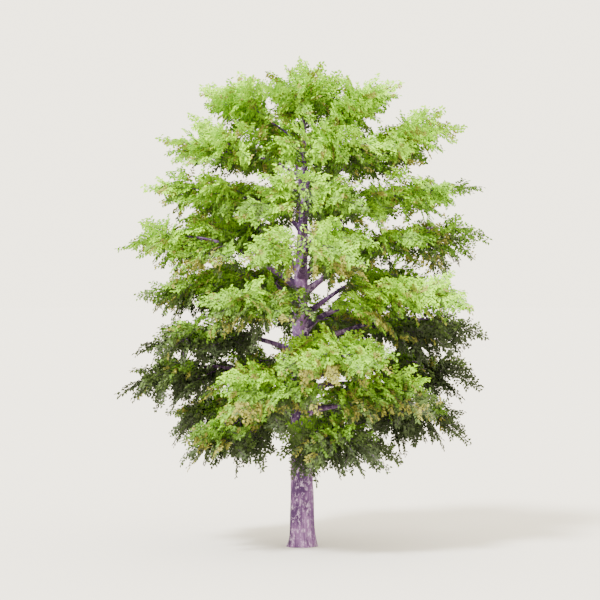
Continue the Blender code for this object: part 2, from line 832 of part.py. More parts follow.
def foliage_solid(mass, shoots, blades, cutter):
    """One closed solid: the stem, with its shoots and blades fused on."""
    stem = stem_solid(mass, cutter)
    fused = bpy.data.collections.new(f"twigs of {mass.name}")
    bpy.context.scene.collection.children.link(fused)
    for k, shoot in enumerate(shoots):
        shoot_object(shoot, f"shoot {mass.name} {k}", fused)
    for k, blade in enumerate(blades):
        blade_object(blade, f"blade {mass.name} {k}", fused)
    join = stem.modifiers.new("shoots and blades", "BOOLEAN")
    join.operation = "UNION"
    join.operand_type = "COLLECTION"
    join.solver = "MANIFOLD"
    join.collection = fused
    solid = applied(stem)
    for obj in list(fused.objects):
        bpy.data.objects.remove(obj)
    bpy.data.collections.remove(fused)
    close_up_slivers(solid)
    keep_main_body(solid)
    return solid


# Materials and the whole tree


def material(name, colour, roughness):
    made = bpy.data.materials.new(name)
    made.use_nodes = True
    shader = made.node_tree.nodes["Principled BSDF"]
    shader.inputs["Base Color"].default_value = (*colour, 1.0)
    shader.inputs["Roughness"].default_value = roughness
    shader.inputs["Metallic"].default_value = 0.0
    made.diffuse_color = (*colour, 1.0)
    return made


def finish(obj, made, collection):
    obj.data.materials.clear()
    obj.data.materials.append(made)
    for old in list(obj.users_collection):
        old.objects.unlink(obj)
    collection.objects.link(obj)


def all_masses():
    masses = []
    for tier_name, (tier, goals) in TIERS.items():
        for index, goal in enumerate(goals):
            limb = limb_of(tier_name, tier, index, goal)
            seed = SEED + SEED_STEP * len(masses)
            masses.append(Mass(limb.name, tier_name, limb, space_of(limb, tier), seed))
    return masses


def main():
    for obj in list(bpy.data.objects):
        bpy.data.objects.remove(obj)
    tree = bpy.data.collections.new(TREE)
    bpy.context.scene.collection.children.link(tree)
    bark = material("beech bark", BARK_COLOUR, BARK_ROUGHNESS)
    leaf = material("beech leaf", LEAF_COLOUR, LEAF_ROUGHNESS)

    trunk = trunk_mesh("trunk")
    trunk.data.shade_smooth()
    trunk.data.set_sharp_from_angle(angle=math.radians(SHARP_EDGE))
    finish(trunk, bark, tree)
    cutter = trunk_mesh("trunk cutter", CUT_GAP)
    cutter.hide_render = True
    cutter.display_type = "WIRE"

    masses = all_masses()
    limbs = limb_tree(masses)
    count = 0
    for mass in masses:
        tier = TIERS[mass.tier][0]
        if mass.tier in TIERS_WITH_BOUGHS:
            finish(bough_solid(mass.limb, cutter), bark, tree)
        shoots, blades = grow_fullest(mass, tier, masses, limbs)
        count += len(shoots) + len(blades)
        print(mass.name, len(shoots), "twigs", len(shoots) + len(blades), "blades")
        finish(foliage_solid(mass, shoots, blades, cutter), leaf, tree)
    print(count, "blades in all")


main()
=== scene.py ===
# A beech in full summer leaf, 22 m tall. Metres, +Z up, the front is -Y, and the origin is the
# centre of the trunk's foot. Azimuths are degrees from the front round to the right (+X).

import bisect
import random
from collections import namedtuple
from functools import partial
from math import atan2, cos, exp, hypot, pi, radians, sin, tan

import bmesh
import bpy
import numpy as np
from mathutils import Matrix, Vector, noise
from mathutils.kdtree import KDTree


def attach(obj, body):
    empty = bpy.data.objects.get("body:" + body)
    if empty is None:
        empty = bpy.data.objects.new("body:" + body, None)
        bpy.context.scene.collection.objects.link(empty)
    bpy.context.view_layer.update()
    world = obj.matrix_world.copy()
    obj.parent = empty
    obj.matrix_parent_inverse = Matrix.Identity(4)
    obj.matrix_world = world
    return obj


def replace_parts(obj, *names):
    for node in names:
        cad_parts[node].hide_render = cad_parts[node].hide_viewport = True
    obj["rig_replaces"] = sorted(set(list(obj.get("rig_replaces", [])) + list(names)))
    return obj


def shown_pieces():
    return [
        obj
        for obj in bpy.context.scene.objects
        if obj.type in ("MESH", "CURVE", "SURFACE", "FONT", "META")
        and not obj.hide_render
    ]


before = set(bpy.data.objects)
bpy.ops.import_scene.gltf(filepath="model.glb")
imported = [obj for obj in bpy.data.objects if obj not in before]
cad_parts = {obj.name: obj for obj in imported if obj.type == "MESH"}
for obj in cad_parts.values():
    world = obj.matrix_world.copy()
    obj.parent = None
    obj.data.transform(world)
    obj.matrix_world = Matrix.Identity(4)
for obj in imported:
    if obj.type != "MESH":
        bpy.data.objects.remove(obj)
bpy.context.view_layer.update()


def mix(a, b, share):
    return a + (b - a) * share


def evenly(first, last, count):
    return [mix(first, last, k / (count - 1)) for k in range(count)]


def headingOf(azimuth, rise):
    a, r = radians(azimuth), radians(rise)
    return Vector((sin(a) * cos(r), -cos(a) * cos(r), sin(r)))


# Materials: maths on sockets reads as plain expressions

def feed(tree, socket, value):
    if isinstance(value, Signal):
        tree.links.new(value.socket, socket)
    else:
        socket.default_value = value


class Signal:
    def __init__(self, tree, socket):
        self.tree = tree
        self.socket = socket

    def combine(self, operation, first, second):
        node = self.tree.nodes.new("ShaderNodeMath")
        node.operation = operation
        for socket, value in zip(node.inputs, (first, second)):
            feed(self.tree, socket, value)
        return Signal(self.tree, node.outputs[0])

    def __add__(self, other):
        return self.combine("ADD", self, other)

    def __sub__(self, other):
        return self.combine("SUBTRACT", self, other)

    def __rsub__(self, other):
        return self.combine("SUBTRACT", other, self)

    def __mul__(self, other):
        return self.combine("MULTIPLY", self, other)

    __radd__ = __add__
    __rmul__ = __mul__


class Finish:
    def __init__(self, name):
        self.material = bpy.data.materials.new(name)
        self.material.use_nodes = True
        self.tree = self.material.node_tree
        self.shader = self.tree.nodes["Principled BSDF"]

    # a node of a type, its settings first and then its sockets
    def add(self, kind, settings, sockets, output=0):
        node = self.tree.nodes.new(kind)
        for key, value in settings.items():
            setattr(node, key, value)
        for key, value in sockets.items():
            feed(self.tree, node.inputs[key], value)
        return Signal(self.tree, node.outputs[output])

    def surface(self, **sockets):
        for key, value in sockets.items():
            feed(self.tree, self.shader.inputs[key], value)
        return self.material

    # noise over Object coordinates, stretched
    def cloud(self, stretch, scale, detail, roughness, distortion):
        spot = self.add("ShaderNodeTexCoord", {}, {}, "Object")
        spot = self.add("ShaderNodeMapping", {}, {"Vector": spot, "Scale": stretch})
        sockets = {"Vector": spot, "Scale": scale, "Detail": detail}
        sockets.update({"Roughness": roughness, "Distortion": distortion})
        return self.add("ShaderNodeTexNoise", {}, sockets, "Fac")

    # 0 below low, 1 above high
    def between(self, signal, low, high):
        settings = {"interpolation_type": "SMOOTHSTEP"}
        sockets = {"Value": signal, "From Min": low, "From Max": high}
        return self.add("ShaderNodeMapRange", settings, sockets)

    def blend(self, share, first, second):
        return self.add("ShaderNodeMix", {"data_type": "RGBA"}, {0: share, 6: first, 7: second}, 2)


bark = {
    # lit and shade are painted light and painted shade of the bark, laid in broad random patches
    # by the first layer
    "lit": (0.215, 0.108, 0.262, 1),
    "shade": (0.050, 0.020, 0.078, 1),
    "pale": (0.560, 0.400, 0.620, 1),
    "lichen": (0.190, 0.185, 0.150, 1),
    # near black: painted shade in the wrinkles and on the limbs, and the colour of the dark pores
    "paintedShadeAndPores": (0.018, 0.007, 0.028, 1),
    "clouds": {  # stretch, scale, detail, roughness, distortion
        "broad": ((1, 1, 0.35), 1.3, 4, 0.55, 0.0),
        "fine": ((1, 1, 0.6), 7.0, 6, 0.65, 0.0),
        "wrinkle": ((0.9, 0.9, 7.0), 2.6, 5, 0.6, 0.4),  # fine rings across the stem
        "pores": ((3.0, 3.0, 16.0), 3.4, 2, 0.55, 0.0),
        "patch": ((1, 1, 0.8), 2.1, 7, 0.7, 0.0),
        "paintedShadeStreak": ((2.4, 2.4, 0.10), 2.0, 4, 0.6, 0.3),  # long streaks of painted shade down the stem
    },
    # laid over the painted shade in turn: a cloud, where it starts and is full, how much, its
    # colour
    "layers": (
        ("broad", 0.40, 0.56, 1.0, "lit"),
        ("fine", 0.50, 0.64, 0.85, "pale"),
        ("patch", 0.60, 0.68, 0.45, "lichen"),
        # painted shade in long streaks down the stem
        ("paintedShadeStreak", 0.50, 0.62, 0.75, "shade"),
        # painted shade in the fine wrinkles that the bump sinks
        ("wrinkle", 0.60, 0.70, 0.55, "paintedShadeAndPores"),
        ("pores", 0.66, 0.72, 0.6, "paintedShadeAndPores"),
    ),
    "broadHeight": 0.5,
    "fineHeight": 0.35,
    "wrinkleDepth": (0.56, 0.70, 0.45),  # where it starts and is full, and how deep
    "bump": {"Strength": 0.55, "Distance": 0.03},
    "roughness": (0.62, 0.28),  # the least, and what the fine cloud adds
    "specular": 0.2,
}


def barkFinish(name, deeperAndShaded):
    made = Finish(name)
    clouds = {key: made.cloud(*settings) for key, settings in bark["clouds"].items()}
    colour = bark["shade"]
    for cloud, start, full, share, tint in bark["layers"]:
        shown = made.between(clouds[cloud], start, full) * share
        colour = made.blend(shown, colour, bark[tint])
    # limbs and twigs go darker: partly their own deeper colour, partly painted shade of the crown
    # above them
    colour = made.blend(deeperAndShaded, colour, bark["paintedShadeAndPores"])
    start, full, depth = bark["wrinkleDepth"]
    height = clouds["broad"] * bark["broadHeight"] + clouds["fine"] * bark["fineHeight"]
    height = height - made.between(clouds["wrinkle"], start, full) * depth
    bump = made.add("ShaderNodeBump", {}, {"Height": height, **bark["bump"]})
    least, more = bark["roughness"]
    look = {"Base Color": colour, "Roughness": least + clouds["fine"] * more}
    return made.surface(**look, **{"Normal": bump, "Specular IOR Level": bark["specular"]})


# Leaf colours, from the deepest shade to full sun, and the yellower tips of hanging twigs
leafColours = {
    "deep": (0.042, 0.060, 0.024),
    "dark": (0.068, 0.108, 0.027),
    "middle": (0.102, 0.205, 0.022),
    "lime": (0.192, 0.395, 0.022),
    "bright": (0.305, 0.590, 0.020),
    "olive": (0.215, 0.215, 0.040),
}
leafGloss = {"Roughness": 0.62, "Specular IOR Level": 0.12}


def leafFinish(name, colour):
    return Finish(name).surface(**{"Base Color": (*colour, 1), **leafGloss})


trunkBark = barkFinish("trunk bark", deeperAndShaded=0.0)
# limb and twig bark carry painted shade of the crown, besides a deeper colour of their own
limbBark = barkFinish("limb bark", deeperAndShaded=0.5)
twigBark = barkFinish("twig bark", deeperAndShaded=0.6)
leafFinishes = {kind: leafFinish(f"leaf {kind}", c) for kind, c in leafColours.items()}
print("materials made")


# The trunk's line and thickness, as the solid has them

trunk = {
    "top": 18.7,
    "baseRadius": 0.52,
    "tipRadius": 0.07,
    "taper": 1.5,
    "lean": 0.12,
    "sway": 0.05,
    "swayToSide": 0.45,  # radians a metre
    "swayToBack": 0.33,
    "buttresses": (  # azimuth, spread at the ground, height
        (88, 0.22, 0.80), (38, 0.13, 0.45), (328, 0.15, 0.50),
        (272, 0.19, 0.26), (215, 0.20, 0.60), (150, 0.17, 0.55),
    ),
    "sharpness": 7,
    "sides": 144,
    "rings": 190,
    "crowding": 1.25,
    "scars": 30,
}


def trunkAxis(z):
    share = z / trunk["top"]
    side = trunk["lean"] * share**2 + trunk["sway"] * sin(trunk["swayToSide"] * z)
    return Vector((side, trunk["sway"] * sin(trunk["swayToBack"] * z), z))


def trunkRadius(z):
    worn = min(1.0, z / trunk["top"]) ** trunk["taper"]
    return mix(trunk["baseRadius"], trunk["tipRadius"], worn)


def rootFlare(z, azimuth):
    total = 0.0
    for middle, spread, height in trunk["buttresses"]:
        facing = max(0.0, cos(radians(azimuth - middle)))
        total += spread * exp(-z / height) * facing ** trunk["sharpness"]
    return total


# The limbs: how a tier's limbs leave the trunk and end, and how large its masses of leaves are

Tier = namedtuple(
    "Tier",
    "foot footStep footRise tipRise entry footRadius halfWidth halfDepth roundness droop"
    " twigs sideBlades",
)
Reach = namedtuple("Reach", "side azimuth reach height")  # where a limb's last leaf is

tiers = {
    "skirt": (
        Tier(5.6, 0.24, 6, -34, 0.33, 0.145, 3.1, 1.7, 0.5, 34, 6, 5),
        Reach("front_right", 26, 6.0, 3.9), Reach("right", 84, 7.5, 4.9),
        Reach("back", 168, 6.4, 4.3), Reach("left", 246, 6.6, 5.0),
        Reach("front_left", 309, 6.2, 4.1),
    ),
    "low": (
        Tier(7.0, 0.24, 14, -22, 0.34, 0.155, 3.3, 1.8, 0.5, 30, 6, 5),
        Reach("front_right", 52, 7.2, 6.2), Reach("right", 99, 8.3, 7.2),
        Reach("back", 196, 7.3, 6.9), Reach("left", 273, 8.2, 7.0),
        Reach("front", 340, 6.7, 6.2),
    ),
    "plate": (
        Tier(8.4, 0.24, 24, -14, 0.34, 0.150, 3.5, 1.8, 0.5, 30, 6, 6),
        Reach("front_right", 21, 7.0, 8.2), Reach("right", 82, 8.3, 9.6),
        Reach("back", 160, 7.4, 9.7), Reach("left", 284, 7.5, 8.9),
    ),
    "middle": (
        Tier(9.8, 0.24, 28, -10, 0.35, 0.145, 3.3, 1.8, 0.5, 30, 6, 6),
        Reach("front_right", 60, 8.4, 10.9), Reach("back_right", 128, 7.6, 11.9),
        Reach("back_left", 212, 7.5, 11.8), Reach("left", 268, 7.4, 11.4),
        Reach("front_left", 336, 6.9, 10.5),
    ),
    "shoulder": (
        Tier(11.3, 0.24, 36, -10, 0.36, 0.150, 3.4, 2.1, 0.7, 26, 6, 6),
        Reach("right", 88, 8.4, 13.9), Reach("back_right", 156, 7.7, 12.9),
        Reach("back_left", 222, 7.5, 14.6), Reach("left", 280, 8.2, 13.5),
        Reach("front", 6, 7.3, 13.0),
    ),
    "upper": (
        Tier(13.2, 0.24, 48, 4, 0.30, 0.105, 3.6, 2.1, 0.8, 20, 7, 7),
        Reach("right", 84, 8.1, 16.2), Reach("front", 4, 6.4, 15.8),
        Reach("left", 276, 7.0, 16.2), Reach("back", 178, 6.8, 17.0),
    ),
    "high": (
        Tier(15.2, 0.26, 54, 14, 0.30, 0.085, 3.2, 1.9, 0.9, 14, 7, 6),
        Reach("right", 94, 7.4, 19.0), Reach("front", 28, 5.4, 18.4),
        Reach("left", 290, 6.6, 18.3), Reach("back", 192, 5.8, 19.3),
    ),
    "crest": (
        Tier(17.1, 0.25, 62, 30, 0.30, 0.055, 3.0, 1.9, 1.0, 8, 6, 5),
        Reach("right", 70, 4.7, 20.8), Reach("left", 262, 4.6, 20.9),
    ),
    "top": (
        Tier(18.7, 0.0, 90, 90, 0.0, 0.07, 3.6, 3.4, 1.0, 0, 9, 6),
        Reach("of_the_crown", 0, 0.12, 22.0),
    ),
}
tiersWithBoughs = ("skirt", "low", "plate", "middle", "shoulder")

limbs = {
    "footPlaces": 5,  # the feet of a tier's limbs take turns at these
    "footSkip": 2,
    "tipRadius": 0.022,
    "taper": 0.85,
    "pull": 0.36,
    "lastBlade": 0.96,
    "collar": 0.45,
    "collarReach": 0.30,
    "boughRings": 5,
    "stemRings": 4,
    "joint": 0.02,
    "headingStep": 0.001,
    "clearance": 0.03,
    "ballSpacing": 0.1,
    "ballsEach": 90,
    "sides": 14,
    "rings": 60,
    "bendStep": 0.01,
    "seam": (0.31, 0.17, 0.94),  # no limb runs this way
    "lumps": ((0.16, 0.25, 2.2), (0.07, 0.1, 9)),  # depth, how far out they are read, scale
}
spaces = {
    "middle": 0.55,
    "stretch": 1.05,
    "nearlyUpright": 0.95,
    "farOutside": 4.0,
    "margin": 0.05,
    "searchSteps": 24,
    "searchReach": 2.2,
}
growth = {
    "seed": 41,
    "seedStep": 17,
    "tries": 9,
    "growths": 10,
    "steepest": -70,
    "leastLevel": 0.2,  # under this a heading is upright
    # twigs
    "twigFootRadius": 0.038,
    "twigFootShare": 0.6,
    "twigTipRadius": 0.016,
    "twigAngle": 56,
    "angleStray": 9,
    "twigStray": 14,
    "turnTries": 3,  # after this many tries that stray has doubled
    "goldenPart": 0.618,
    "twigDroop": 0.3,
    "twigShortening": 0.06,  # for each try
    "shortestTwig": 0.35,
    "twigRoom": 0.93,
    "twigSpots": (0.3, 0.5, 0.7, 0.85, 1.0),
    "clearFrom": 0.1,
    "stemUsed": (0.07, 0.93),
    "footStray": (0.3, 0.7),
    "stemEndOverlap": 0.15,
    "leaderNeck": 0.04,
    "leaderRadius": 0.4,
    # blades
    "bladeLength": 1.95,
    "bladeWidth": 0.68,  # of its length
    "bladeThickness": 0.055,
    "widest": 0.45,
    "rolls": (25, 70),
    "facingAway": 0.5,  # under this it rolls either way
    "bladeAngle": 52,
    "bladeDroop": (0.3, 1),
    "bladeShortening": 0.04,
    "strayTries": 4,
    "endBlade": 0.98,
    "endSpread": 0.12,
    "endTries": 3,
    "sideBlades": ((0.6, 0.97), (0.3, 0.9)),  # place along a twig, and size
    "sideSpread": 0.25,
    "leastSidePlace": 0.2,
    "rootDepth": 0.008,
    "leastSpacing": 0.36,
    "bladeRoom": 0.03,
    "sideRoom": 1.3,
    "depths": (1.50, 1.10),  # into the skin of a mass: sides, tips
}

Limb = namedtuple("Limb", "name curve bend radius boughShare tip shares")
Space = namedtuple("Space", "centre along across normal halfLength halfWidth halfDepth")
Mass = namedtuple("Mass", "name tier limb space seed")
Twig = namedtuple("Twig", "start end footRadius share")
Blade = namedtuple("Blade", "root heading normal length")
Shoot = namedtuple("Shoot", "twig blade")


def footHeight(tier, index):
    return tier.foot + tier.footStep * (index * limbs["footSkip"] % limbs["footPlaces"])


def limbOf(tierName, tier, index, goal):
    foot = trunkAxis(footHeight(tier, index))
    tip = headingOf(goal.azimuth, 0) * goal.reach + Vector((0, 0, goal.height))
    endHeading = headingOf(goal.azimuth, tier.tipRise)
    end = tip - endHeading * growth["bladeLength"] * limbs["lastBlade"]
    length = (end - foot).length
    out = foot + headingOf(goal.azimuth, tier.footRise) * (length * limbs["pull"])
    back = end - endHeading * (length * limbs["pull"])

    def bend(t):
        s = 1 - t
        return s**3 * foot + 3 * s * s * t * out + 3 * s * t * t * back + t**3 * end

    hasBough = tierName in tiersWithBoughs
    lower = [0.0]
    if tier.entry:
        lower = evenly(0.0, tier.entry, limbs["boughRings"] if hasBough else 2)
    upper = evenly(tier.entry, 1.0, limbs["stemRings"])[1:]
    rings = [bend(t) for t in lower]
    if hasBough or not tier.entry:
        before = rings[-1] - rings[-2] if hasBough else Vector((0, 0, 1))
        lower.append(tier.entry + limbs["joint"])
        rings.append(rings[-1] + before.normalized() * limbs["joint"] * length)
    shares = lower + upper
    rings += [bend(t) for t in upper]

    def curve(t):
        k = max(0, bisect.bisect_left(shares, t, 1, len(shares) - 1) - 1)
        return mix(rings[k], rings[k + 1], (t - shares[k]) / (shares[k + 1] - shares[k]))

    def radius(t):
        bare = mix(tier.footRadius, limbs["tipRadius"], t ** limbs["taper"])
        if not tier.entry:
            return bare
        fromBark = max(0.0, t * length - trunkRadius(foot.z))
        return bare * (1 + limbs["collar"] * exp(-fromBark / limbs["collarReach"]))

    return Limb(f"{tierName}_{goal.side}", curve, bend, radius, tier.entry, tip, shares)


def limbHeading(limb, t):
    step = limbs["headingStep"]
    t = max(t, step)
    return (limb.curve(t) - limb.curve(t - step)).normalized()


def spaceOf(limb, tier):
    start = limb.curve(limb.boughShare)
    middle = limb.curve(mix(limb.boughShare, 1.0, spaces["middle"]))
    chord = limb.tip - start
    along = chord.normalized()
    upright = abs(along.z) >= spaces["nearlyUpright"]
    upward = Vector((0, -1, 0)) if upright else Vector((0, 0, 1))
    normal = (upward - along * upward.dot(along)).normalized()
    centre = mix((start + limb.tip) / 2, middle, 0.5)
    across = along.cross(normal)
    halfLength = chord.length / 2 * spaces["stretch"]
    return Space(centre, along, across, normal, halfLength, tier.halfWidth, tier.halfDepth)


# 0 at the centre of a space and 1 on its skin
def depthIn(space, point):
    d = point - space.centre
    return (
        (d.dot(space.along) / space.halfLength) ** 2
        + (d.dot(space.across) / space.halfWidth) ** 2
        + (d.dot(space.normal) / space.halfDepth) ** 2
    )


def slopeIn(space, point):
    d = point - space.centre
    return 2 * (
        space.along * (d.dot(space.along) / space.halfLength**2)
        + space.across * (d.dot(space.across) / space.halfWidth**2)
        + space.normal * (d.dot(space.normal) / space.halfDepth**2)
    )


def wayOut(space, point, heading):
    near, far = 0.0, spaces["searchReach"] * max(space.halfLength, space.halfWidth)
    for _ in range(spaces["searchSteps"]):
        half = (near + far) / 2
        if depthIn(space, point + heading * half) < 1:
            near = half
        else:
            far = half
    return near


# True where a point is in the mass's space and clear of every nearer one
def owns(mass, point, skin):
    own = depthIn(mass.space, point)
    if own > skin:
        return False
    for other in masses:
        if other is mass:
            continue
        theirs = depthIn(other.space, point)
        if theirs > spaces["farOutside"]:
            continue
        slope = (slopeIn(other.space, point) - slopeIn(mass.space, point)).length
        if theirs - own < spaces["margin"] * slope:
            return False
    return True


# The trunk, boughs and stems as balls, to keep twigs and sprays clear of them
def limbTree(masses):
    spacing = limbs["ballSpacing"]
    heights = [spacing * k for k in range(round(trunk["top"] / spacing))]
    balls = [(trunkAxis(z), trunkRadius(z), None) for z in heights]
    for mass in masses:
        share = mass.limb.boughShare if mass.tier in tiersWithBoughs else 0.0
        for t in evenly(0.0, 1.0, limbs["ballsEach"]):
            owner = mass.name if t > share else None
            balls.append((mass.limb.curve(t), mass.limb.radius(t), owner))
    tree = KDTree(len(balls))
    for k, ball in enumerate(balls):
        tree.insert(ball[0], k)
    tree.balance()
    return tree, balls


def touchesLimb(mass, centre, reach, touches):
    tree, balls = wood
    room = limbs["clearance"]
    for place, k, _ in tree.find_range(centre, reach + trunk["baseRadius"] + room):
        _, radius, owner = balls[k]
        if owner != mass.name and touches(place, radius + room):
            return True
    return False


def middleOf(blade):
    return blade.root + blade.heading * blade.length / 2


def bladeAcross(blade):
    return blade.normal.cross(blade.heading).normalized()


def bladeTouches(blade, place, room):
    away = place - blade.root
    along = away.dot(blade.heading)
    if abs(away.dot(blade.normal)) > room + growth["bladeThickness"] / 2:
        return False
    if not -room < along < blade.length + room:
        return False
    share = min(1.0, max(0.0, along / blade.length))
    taper = min(share / growth["widest"], (1 - share) / (1 - growth["widest"]))
    halfWidth = taper * growth["bladeWidth"] * blade.length / 2
    return abs(away.dot(bladeAcross(blade))) < halfWidth + growth["sideRoom"] * room


def outlineOf(blade):
    across = bladeAcross(blade) * (blade.length * growth["bladeWidth"] / 2)
    middle = blade.root + blade.heading * blade.length * growth["widest"]
    tip = blade.root + blade.heading * blade.length
    left, right = middle + across, middle - across
    return [(blade.root, left), (left, tip), (blade.root, right), (right, tip), (blade.root, tip)]


def lineCrosses(line, blade):
    start, end = line
    before = (start - blade.root).dot(blade.normal)
    after = (end - blade.root).dot(blade.normal)
    if before * after > 0 or before == after:
        return False
    return bladeTouches(blade, mix(start, end, before / (before - after)), growth["bladeRoom"])


def bladesCross(one, other):
    if (one.root - other.root).length > one.length + other.length:
        return False
    pairs = ((one, other), (other, one))
    return any(lineCrosses(line, b) for a, b in pairs for line in outlineOf(a))


# Where a blade is tried against its space: along it and across it, inside and at its end
innerSpots = (
    (0.22, 0.0), (0.45, -1.0), (0.45, 1.0), (0.45, -0.5), (0.45, 0.5), (0.72, -0.5), (0.72, 0.5),
)
endSpots = ((0.8, 0.0), (1.0, 0.0))


def bladeInSpace(mass, blade, sideSkin, tipSkin):
    across = bladeAcross(blade) * (blade.length * growth["bladeWidth"] / 2)
    onward = blade.heading * blade.length
    for places, skin in ((innerSpots, sideSkin), (endSpots, tipSkin)):
        for along, side in places:
            if not owns(mass, blade.root + onward * along + across * side, skin):
                return False
    return True


def clearOfWood(mass, blade):
    touches = partial(bladeTouches, blade)
    return not touchesLimb(mass, middleOf(blade), blade.length / 2, touches)


def bladeFits(mass, blade, others, twigs):
    if not bladeInSpace(mass, blade, *growth["depths"]):
        return False
    middle = middleOf(blade)
    for other in others:
        between = middleOf(other) - middle
        if between.length < growth["leastSpacing"] * blade.length or bladesCross(blade, other):
            return False
    if any(lineCrosses(line, blade) for line in twigs):
        return False
    return clearOfWood(mass, blade)


def twigTouches(twig, place, room):
    way = twig.end - twig.start
    share = min(1.0, max(0.0, (place - twig.start).dot(way) / way.length_squared))
    return (twig.start + way * share - place).length < room + twig.footRadius


def twigFits(mass, twig):
    for share in growth["twigSpots"]:
        if not owns(mass, mix(twig.start, twig.end, share), growth["depths"][0]):
            return False
    middle = (twig.start + twig.end) / 2
    reach = (twig.end - twig.start).length / 2
    return not touchesLimb(mass, middle, reach, partial(twigTouches, twig))


# A heading turned down towards the ground, but not past it
def lowered(heading, degrees):
    level = Vector((heading.x, heading.y, 0))
    if level.length < growth["leastLevel"]:
        return heading
    level.normalize()
    rise = atan2(heading.z, heading.dot(level)) - radians(degrees)
    rise = max(rise, radians(growth["steepest"]))
    return level * cos(rise) + Vector((0, 0, sin(rise)))


# A blade faces up, rolled over to its side that is away from the trunk
def faceUpAndOut(rng, root, heading):
    side = Vector((0, 0, 1)).cross(heading)
    if side.length < growth["leastLevel"]:
        side = Vector((0, 1, 0)).cross(heading)
    side.normalize()
    outward = side.dot(Vector((root.x, root.y, 0)).normalized())
    over = 1 if outward > 0 else -1
    if abs(outward) < growth["facingAway"] and rng.random() < 0.5:
        over = -over
    roll = radians(rng.uniform(*growth["rolls"])) * over
    return heading.cross(side) * cos(roll) + side * sin(roll)


# Twigs leave the stem by turns, each ends in a blade and bears more at its sides
def grow(mass, tier, seed):
    rng = random.Random(seed)
    space, limb = mass.space, mass.limb
    stem = [limb.curve(t) for t in limb.shares if t >= limb.boughShare]
    lines = list(zip(stem, stem[1:]))
    blades = []
    tries, full = growth["tries"], growth["bladeLength"]

    def bear(root, aim, length, spread, ownLine=None, tries=tries):
        others = [line for line in lines if line is not ownLine]
        for k in range(tries):
            loose = Vector([rng.uniform(-1, 1) for _ in range(3)])
            loose = loose * spread * (1 + k / growth["strayTries"])
            droop = tier.droop * rng.uniform(*growth["bladeDroop"])
            heading = lowered((aim + loose).normalized(), droop)
            normal = faceUpAndOut(rng, root, heading)
            shorter = length * (1 - growth["bladeShortening"] * k)
            blade = Blade(root, heading, normal, shorter)
            if bladeFits(mass, blade, blades, others):
                blades.append(blade)
                return blade
        return None

    def sprout(t, turn):
        start, onward = limb.curve(t), limbHeading(limb, t)
        strayed, bent = growth["twigStray"], growth["angleStray"]
        for k in range(tries):
            stray = rng.uniform(-strayed, strayed) * (1 + k / growth["turnTries"])
            roll = radians(turn + stray)
            side = space.across * cos(roll) + space.normal * sin(roll)
            angle = radians(growth["twigAngle"] + rng.uniform(-bent, bent))
            heading = (onward * cos(angle) + side * sin(angle)).normalized()
            heading = lowered(heading, tier.droop * growth["twigDroop"])
            length = wayOut(space, start, heading) - full * growth["twigRoom"]
            length = max(growth["shortestTwig"], length * (1 - growth["twigShortening"] * k))
            footRadius = min(growth["twigFootShare"] * limb.radius(t), growth["twigFootRadius"])
            twig = Twig(start, start + heading * length, footRadius, t)
            clearLine = (mix(twig.start, twig.end, growth["clearFrom"]), twig.end)
            if not twigFits(mass, twig):
                continue
            if any(lineCrosses(clearLine, blade) for blade in blades):
                continue
            endLength, endTries = full * growth["endBlade"], growth["endTries"]
            blade = bear(twig.end, heading, endLength, growth["endSpread"], tries=endTries)
            if blade:
                return Shoot(twig, blade)
        return None

    end = limb.curve(1.0)
    last = (limb.tip - end).normalized()
    neck = end + last * growth["leaderNeck"]
    leaderFoot = end - last * growth["stemEndOverlap"]
    leader = Twig(leaderFoot, neck, limbs["tipRadius"] * growth["leaderRadius"], 1.0)
    normal = faceUpAndOut(rng, end, last)
    blades.append(Blade(neck, last, normal, (limb.tip - neck).length))
    shoots, sideBlades = [Shoot(leader, blades[0])], []
    first = rng.random()
    for k in range(tier.twigs):
        share = (k + rng.uniform(*growth["footStray"])) / tier.twigs
        t = mix(limb.boughShare, 1.0, mix(*growth["stemUsed"], share))
        wander = 180 * ((k * growth["goldenPart"] + first) % 1 - 0.5) * tier.roundness
        shoot = sprout(t, 180 * (k % 2) + wander)
        if shoot:
            shoots.append(shoot)
            lines.append((shoot.twig.start, shoot.twig.end))
    for shoot, line in zip(shoots[1:], lines[len(stem) - 1 :]):
        way = shoot.twig.end - shoot.twig.start
        heading = way.normalized()
        out = 1 if rng.random() < 0.5 else -1
        sideways = heading.cross(space.normal).normalized()
        turned = radians(growth["bladeAngle"])
        for place, size in growth["sideBlades"]:
            if way.length * place < growth["leastSidePlace"]:
                continue
            aim = heading * cos(turned) + sideways * out * sin(turned)
            root = mix(shoot.twig.start, shoot.twig.end, place)
            blade = bear(root, aim, full * size, growth["sideSpread"], ownLine=line)
            if blade:
                sunk = blade.root - blade.heading * growth["rootDepth"]
                deeper = blade.length + growth["rootDepth"]
                sideBlades.append(blade._replace(root=sunk, length=deeper))
                if len(sideBlades) == tier.sideBlades:
                    return shoots, sideBlades
            out = -out
    return shoots, sideBlades


def bladesOf(shoots, sideBlades):
    return [shoot.blade for shoot in shoots] + sideBlades


def bladeArea(grown):
    return sum(blade.length**2 for blade in bladesOf(*grown))


def growFullest(mass):
    tier = tiers[mass.tier][0]
    return max((grow(mass, tier, mass.seed + k) for k in range(growth["growths"])), key=bladeArea)


def allMasses():
    masses = []
    for tierName, (tier, *goals) in tiers.items():
        for index, goal in enumerate(goals):
            limb = limbOf(tierName, tier, index, goal)
            seed = growth["seed"] + growth["seedStep"] * len(masses)
            masses.append(Mass(limb.name, tierName, limb, spaceOf(limb, tier), seed))
    return masses


masses = allMasses()
wood = limbTree(masses)
grown = {mass.name: growFullest(mass) for mass in masses}
print("grown", sum(len(s) + len(b) for s, b in grown.values()), "main sprays")


# Loops of points drawn out into a tapering stem

def edgesAmong(verts, parts):
    return [g for g in parts if isinstance(g, bmesh.types.BMEdge) and verts.issuperset(g.verts)]


